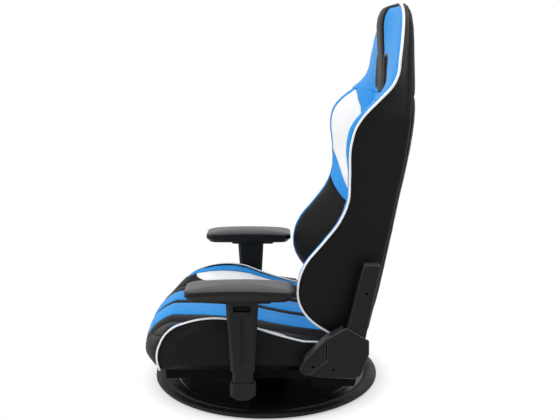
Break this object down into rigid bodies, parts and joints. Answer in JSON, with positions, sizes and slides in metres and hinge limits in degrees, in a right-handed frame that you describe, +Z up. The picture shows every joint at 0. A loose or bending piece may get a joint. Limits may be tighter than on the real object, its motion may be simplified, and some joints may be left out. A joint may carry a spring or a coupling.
{
  "type": "floor gaming chair",
  "caption": "Floor chair with a padded bucket seat, a tall reclining winged back and adjustable armrests on a swivelling disc base.",
  "frame": {"origin": "centre of the disc's underside on the floor, on the swivel axis", "axes": "+Z up, the chair faces -Y, +X is the sitter's left"},
  "size_m": [0.652, 0.6675, 0.9608],
  "materials": {
    "felt": "matte felt",
    "leather_black": "soft grained, satin",
    "leather_blue": "soft grained, satin",
    "leather_white": "soft grained, satin",
    "arm_pad_skin": "moulded skin, soft sheen",
    "steel_black": "satin black paint",
    "bright_steel": "zinc plated",
    "plastic_black": "fine texture",
    "button_gloss": "gloss",
    "webbing": "woven elastic",
    "plywood": "raw plywood"
  },
  "bodies": {
    "base": {"floor_pad": "felt", "base_plate": "steel_black", "base_cover": "leather_black", "base_screws": "bright_steel", "bearing_lower_race": "bright_steel", "bearing_balls": "bright_steel", "ball_cage": "plastic_black", "pivot_stud": "bright_steel", "swivel_nut": "bright_steel"},
    "seat": {"bearing_upper_race": "bright_steel", "swivel_pedestal": "steel_black", "pedestal_bolts": "bright_steel", "seat_side_rails": "steel_black", "seat_cross_tubes": "steel_black", "seat_board": "plywood", "seat_cushion": "leather_blue", "seat_bolster_left": "leather_white", "seat_bolster_right": "leather_white", "hinge_bracket_left": "steel_black", "hinge_bracket_right": "steel_black", "bracket_bolts": "bright_steel", "pivot_bolts": "bright_steel", "hinge_spring": "bright_steel", "recliner_housing": "steel_black", "hinge_cover_left": "plastic_black", "hinge_cover_right": "plastic_black", "hinge_cover_front_left": "plastic_black", "hinge_cover_front_right": "plastic_black", "cover_screws": "bright_steel", "arm_brackets": "steel_black", "arm_bracket_bolts": "bright_steel", "arm_base_left": "plastic_black", "arm_base_right": "plastic_black", "arm_post_left": "steel_black", "arm_post_right": "steel_black"},
    "back": {"back_frame": "steel_black", "back_webbing": "webbing", "back_rear_panel": "leather_black", "back_cushion": "leather_black", "back_wing_left": "leather_black", "back_wing_right": "leather_black", "head_cushion": "leather_black", "belt_slot_bezels": "plastic_black", "hinge_arm_left": "steel_black", "hinge_arm_right": "steel_black", "hinge_arm_cover_left": "plastic_black", "hinge_arm_cover_right": "plastic_black", "hinge_arm_screws": "bright_steel"},
    "lever": {"recline_lever": "steel_black", "lever_grip": "plastic_black"},
    "arm_left": {"arm_sleeve_left": "plastic_black"},
    "button_left": {"arm_button_left": "button_gloss"},
    "carrier_left": {"pad_carrier_left": "plastic_black"},
    "pad_left": {"pad_base_left": "plastic_black", "arm_pad_left": "arm_pad_skin"},
    "arm_right": {"arm_sleeve_right": "plastic_black"},
    "button_right": {"arm_button_right": "button_gloss"},
    "carrier_right": {"pad_carrier_right": "plastic_black"},
    "pad_right": {"pad_base_right": "plastic_black", "arm_pad_right": "arm_pad_skin"}
  },
  "joints": [
    {"name": "seat_swivel", "type": "hinge", "parent": "base", "child": "seat", "pos_m": [0, 0, 0], "axis": [0, 0, 1], "continuous": true},
    {"name": "back_recline", "type": "hinge", "parent": "seat", "child": "back", "pos_m": [0, 0.198, 0.15], "axis": [-1, 0, 0], "range_deg": [0, 78]},
    {"name": "lever_pull", "type": "hinge", "parent": "seat", "child": "lever", "pos_m": [-0.277, 0.198, 0.15], "axis": [-1, 0, 0], "range_deg": [0, 20], "stiffness_Nm_per_rad": 0.8, "springref_deg": -17.19},
    {"name": "arm_height_left", "type": "slide", "parent": "seat", "child": "arm_left", "axis": [0, 0, 1], "range_m": [-0.022, 0.05]},
    {"name": "button_press_left", "type": "slide", "parent": "arm_left", "child": "button_left", "axis": [-1, 0, 0], "range_m": [0, 0.003], "stiffness_N_per_m": 300, "springref_m": -0.003},
    {"name": "pad_slide_left", "type": "slide", "parent": "arm_left", "child": "carrier_left", "axis": [0, -1, 0], "range_m": [0, 0.04]},
    {"name": "pad_turn_left", "type": "hinge", "parent": "carrier_left", "child": "pad_left", "pos_m": [0.28, -0.05, 0.3], "axis": [0, 0, 1], "range_deg": [-15, 15]},
    {"name": "arm_height_right", "type": "slide", "parent": "seat", "child": "arm_right", "axis": [0, 0, 1], "range_m": [-0.022, 0.05]},
    {"name": "button_press_right", "type": "slide", "parent": "arm_right", "child": "button_right", "axis": [1, 0, 0], "range_m": [0, 0.003], "stiffness_N_per_m": 300, "springref_m": -0.003},
    {"name": "pad_slide_right", "type": "slide", "parent": "arm_right", "child": "carrier_right", "axis": [0, -1, 0], "range_m": [0, 0.04]},
    {"name": "pad_turn_right", "type": "hinge", "parent": "carrier_right", "child": "pad_right", "pos_m": [-0.28, -0.05, 0.3], "axis": [0, 0, 1], "range_deg": [-15, 15]}
  ]
}
